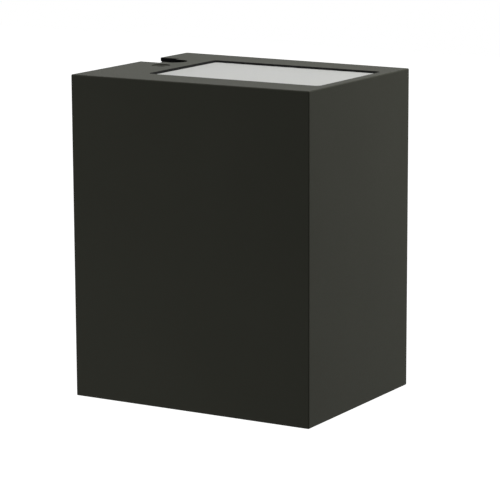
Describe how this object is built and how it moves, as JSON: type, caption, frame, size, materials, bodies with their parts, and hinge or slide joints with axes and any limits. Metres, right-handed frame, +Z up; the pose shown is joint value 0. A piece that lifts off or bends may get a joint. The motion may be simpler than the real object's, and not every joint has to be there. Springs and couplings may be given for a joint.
{
  "type": "outdoor wall light",
  "caption": "Box-shaped up-and-down wall light: tapered cast housing with glass windows in its top and bottom faces, locked on a sheet steel wall bracket by set screws.",
  "frame": {"origin": "middle of the wall bracket's screw pattern, on the wall plane", "axes": "+Z up, +Y into the wall, -Y out of the wall towards the lamp's front, +X to the right seen from the front"},
  "size_m": [0.097, 0.122, 0.149],
  "materials": {
    "powder_coat": "fine matte powder coat, warm dark grey",
    "satin_glass": "satin-etched, light grey",
    "black_rubber": "smooth, matte",
    "foam_rubber": "closed-cell foam, matte",
    "cover_gasket": "moulded silicone, matte",
    "stainless": "turned stainless steel",
    "black_steel": "blackened and oiled steel, satin",
    "zinc_plated_steel": "zinc plated, semi-gloss",
    "bare_aluminium": "die-cast or extruded, unpainted",
    "tinned_copper": "tinned, bright",
    "brass": "machined brass",
    "board_white": "white solder mask",
    "led_phosphor": "yellow phosphor over a white body",
    "reflector_white": "moulded, high white",
    "connector_nylon": "natural nylon",
    "terminal_nylon": "light grey nylon",
    "driver_plastic": "moulded, white",
    "thermal_pad": "soft silicone",
    "grey_foam": "open-cell foam",
    "breather_grey": "moulded, black",
    "lead_brown": "PVC insulation, semi-gloss",
    "lead_blue": "PVC insulation, semi-gloss",
    "lead_green_yellow": "PVC insulation, green with a yellow stripe",
    "lead_black": "PVC insulation, semi-gloss"
  },
  "bodies": {
    "wall_plate": {"wall_bracket": "zinc_plated_steel", "entry_grommet": "black_rubber"},
    "lamp": {"board_connectors": "connector_nylon", "board_lead_bottom": "lead_black", "board_lead_top": "lead_black", "breather_plug": "breather_grey", "core_screws": "zinc_plated_steel", "cover_gasket": "cover_gasket", "cover_screws": "stainless", "driver_case": "driver_plastic", "driver_foam": "grey_foam", "driver_leads": "lead_black", "driver_pad": "thermal_pad", "earth_lead": "lead_green_yellow", "earth_lug": "tinned_copper", "earth_screw": "brass", "housing": "powder_coat", "lead_elbow": "black_rubber", "led_board_bottom": "board_white", "led_board_top": "board_white", "leds_bottom": "led_phosphor", "leds_top": "led_phosphor", "light_core": "bare_aluminium", "live_lead": "lead_brown", "neutral_lead": "lead_blue", "rear_cover": "bare_aluminium", "reflector_bottom": "reflector_white", "reflector_top": "reflector_white", "terminal_block": "terminal_nylon", "terminal_clamps": "brass", "terminal_fixing_screws": "zinc_plated_steel", "terminal_screws": "zinc_plated_steel", "wall_gasket": "foam_rubber", "window_pane_bottom": "satin_glass", "window_pane_top": "satin_glass", "window_seal_bottom": "black_rubber", "window_seal_top": "black_rubber"},
    "top_screw": {"set_screw_top": "black_steel"},
    "bottom_screw": {"set_screw_bottom": "black_steel"}
  },
  "joints": [
    {"name": "lamp_draw_off", "type": "slide", "parent": "wall_plate", "child": "lamp", "axis": [0, -1, 0], "range_m": [0, 0.03]},
    {"name": "set_screw_top_travel", "type": "slide", "parent": "lamp", "child": "top_screw", "axis": [0, 0, 1], "range_m": [0, 0.0025]},
    {"name": "set_screw_bottom_travel", "type": "slide", "parent": "lamp", "child": "bottom_screw", "axis": [0, 0, -1], "range_m": [0, 0.0025]}
  ]
}
